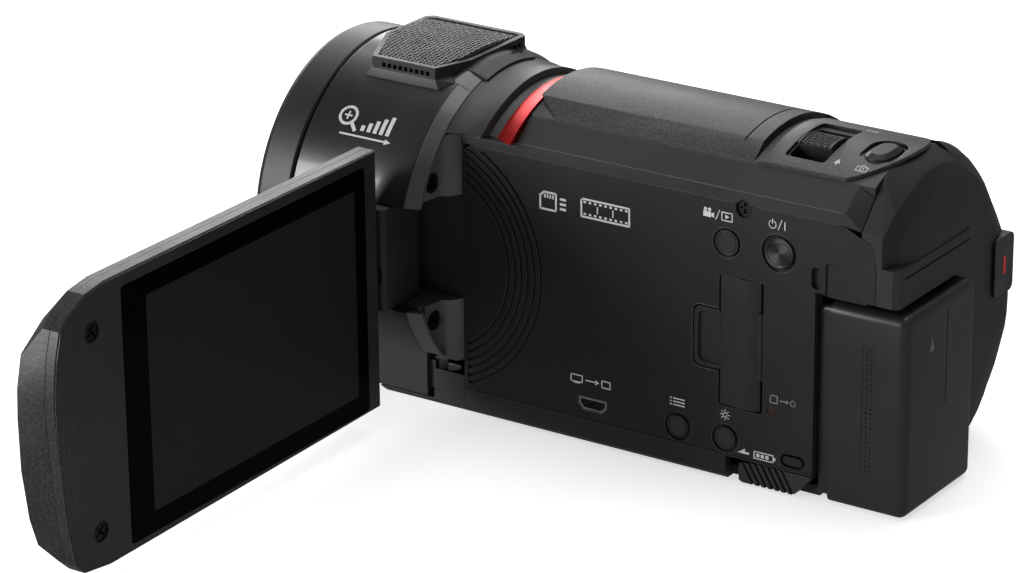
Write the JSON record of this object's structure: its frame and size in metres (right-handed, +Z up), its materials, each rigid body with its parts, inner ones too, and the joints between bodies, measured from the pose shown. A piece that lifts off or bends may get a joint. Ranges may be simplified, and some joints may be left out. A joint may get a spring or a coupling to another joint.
{
  "type": "camcorder",
  "caption": "Handheld camcorder with a fold-out swivel display, wide lens barrel, top microphone, zoom rocker, slide-on battery and hand strap.",
  "frame": {"origin": "mouth of the tripod socket, on the flat underside", "axes": "+X to the display side, +Y to the rear, +Z up"},
  "size_m": [0.1883, 0.139, 0.0692],
  "materials": {
    "body_plastic": "fine spark-eroded matt black",
    "top_plastic": "fine matt charcoal",
    "barrel_plastic": "satin black",
    "band_plastic": "smooth dark grey bevel",
    "red_trim": "red anodised",
    "display_shell": "fine matt black",
    "display_glass": "polished black cover glass",
    "display_panel": "unlit liquid crystal panel",
    "button_plastic": "moulded dark grey",
    "button_metal": "spun grey",
    "battery_plastic": "smooth satin black",
    "soft_rubber": "matt moulded rubber",
    "grille_metal": "punched dark grey mesh",
    "strap_webbing": "woven nylon belt",
    "strap_pad": "padded mesh cloth",
    "steel": "plated",
    "black_steel": "black oxide",
    "frame_metal": "cast, as made",
    "circuit_board": "solder-masked board",
    "inner_black": "anti-reflection black",
    "lens_glass": "coated optical glass",
    "lamp_lens": "tinted lamp window"
  },
  "bodies": {
    "camera": {"chassis": "frame_metal", "main_board": "circuit_board", "left_panel": "body_plastic", "top_cover": "body_plastic", "top_plate": "top_plastic", "deck": "top_plastic", "rear_cover": "body_plastic", "grip_cover": "body_plastic", "grip_rear": "body_plastic", "grip_front": "body_plastic", "bottom_cover": "body_plastic", "tripod_bush": "steel", "front_foot": "body_plastic", "barrel_cover": "barrel_plastic", "front_ring": "barrel_plastic", "bevel_band": "band_plastic", "neck": "barrel_plastic", "red_ring": "red_trim", "lens_hood": "barrel_plastic", "front_lens": "lens_glass", "lens_tube": "inner_black", "guide_rods": "steel", "image_sensor": "circuit_board", "mic_housing": "body_plastic", "mic_grille": "grille_metal", "mic_capsules": "frame_metal", "bracket_upper": "body_plastic", "bracket_lower": "body_plastic", "bracket_screws": "black_steel", "hinge_base": "body_plastic", "card_reader": "frame_metal", "hdmi_port": "steel", "access_led": "lamp_lens", "remote_jack": "steel", "battery_plate": "body_plastic", "case_screws": "black_steel", "strap_lugs": "body_plastic", "hand_strap": "strap_webbing", "hand_pad": "strap_pad"},
    "hinge_arm": {"hinge_block": "body_plastic", "hinge_pin": "steel", "tilt_shaft": "black_steel"},
    "display": {"lcd_back": "display_shell", "lcd_bezel": "display_shell", "lcd_glass": "display_glass", "lcd_display": "display_panel", "lcd_screws": "black_steel"},
    "mode_key": {"mode_button": "button_plastic"},
    "power_key": {"power_button": "button_metal"},
    "menu_key": {"menu_button": "button_plastic"},
    "light_key": {"light_button": "button_plastic"},
    "card_flap": {"card_door": "body_plastic"},
    "jack_flap": {"jack_cover": "soft_rubber"},
    "battery_pack": {"battery": "battery_plastic"},
    "battery_catch": {"battery_lever": "button_plastic"},
    "zoom_rocker": {"zoom_lever": "button_plastic"},
    "photo_key": {"photo_button": "button_metal"},
    "record_key": {"rec_button": "button_metal"},
    "zoom_lens": {"zoom_group": "inner_black"},
    "focus_lens": {"focus_group": "inner_black"}
  },
  "joints": [
    {"name": "display_swing", "type": "hinge", "parent": "camera", "child": "hinge_arm", "pos_m": [0.02825, -0.03425, 0.03195], "axis": [0, 0, -1], "range_deg": [-90, 0]},
    {"name": "display_tilt", "type": "hinge", "parent": "hinge_arm", "child": "display", "pos_m": [0.0388, -0.03425, 0.03195], "axis": [-1, 0, 0], "range_deg": [-180, 90]},
    {"name": "mode_press", "type": "slide", "parent": "camera", "child": "mode_key", "axis": [-1, 0, 0], "range_m": [0, 0.0006], "stiffness_N_per_m": 900},
    {"name": "power_press", "type": "slide", "parent": "camera", "child": "power_key", "axis": [-1, 0, 0], "range_m": [0, 0.0006], "stiffness_N_per_m": 900},
    {"name": "menu_press", "type": "slide", "parent": "camera", "child": "menu_key", "axis": [-1, 0, 0], "range_m": [0, 0.0006], "stiffness_N_per_m": 900},
    {"name": "light_press", "type": "slide", "parent": "camera", "child": "light_key", "axis": [-1, 0, 0], "range_m": [0, 0.0006], "stiffness_N_per_m": 900},
    {"name": "card_door_swing", "type": "hinge", "parent": "camera", "child": "card_flap", "pos_m": [0.0229, 0.04535, 0.0285], "axis": [0, 0, 1], "range_deg": [0, 95]},
    {"name": "jack_cover_swing", "type": "hinge", "parent": "camera", "child": "jack_flap", "pos_m": [0.02275, -0.0435, 0.006], "axis": [0, 0, -1], "range_deg": [0, 95]},
    {"name": "battery_slide", "type": "slide", "parent": "camera", "child": "battery_pack", "axis": [0, 0, -1], "range_m": [0, 0.03]},
    {"name": "battery_catch_slide", "type": "slide", "parent": "camera", "child": "battery_catch", "axis": [0, -1, 0], "range_m": [0, 0.0026], "stiffness_N_per_m": 400},
    {"name": "zoom_rock", "type": "hinge", "parent": "camera", "child": "zoom_rocker", "pos_m": [0.0094, 0.05, 0.058], "axis": [0, 1, 0], "range_deg": [-10, 10], "stiffness_Nm_per_rad": 0.05},
    {"name": "photo_press", "type": "slide", "parent": "camera", "child": "photo_key", "axis": [0, 0, -1], "range_m": [0, 0.0008], "stiffness_N_per_m": 900},
    {"name": "record_press", "type": "slide", "parent": "camera", "child": "record_key", "axis": [0, -1, 0], "range_m": [0, 0.0008], "stiffness_N_per_m": 900},
    {"name": "zoom_group_travel", "type": "slide", "parent": "camera", "child": "zoom_lens", "axis": [0, 1, 0], "range_m": [0, 0.01]},
    {"name": "focus_group_travel", "type": "slide", "parent": "camera", "child": "focus_lens", "axis": [0, 1, 0], "range_m": [0, 0.005]}
  ]
}
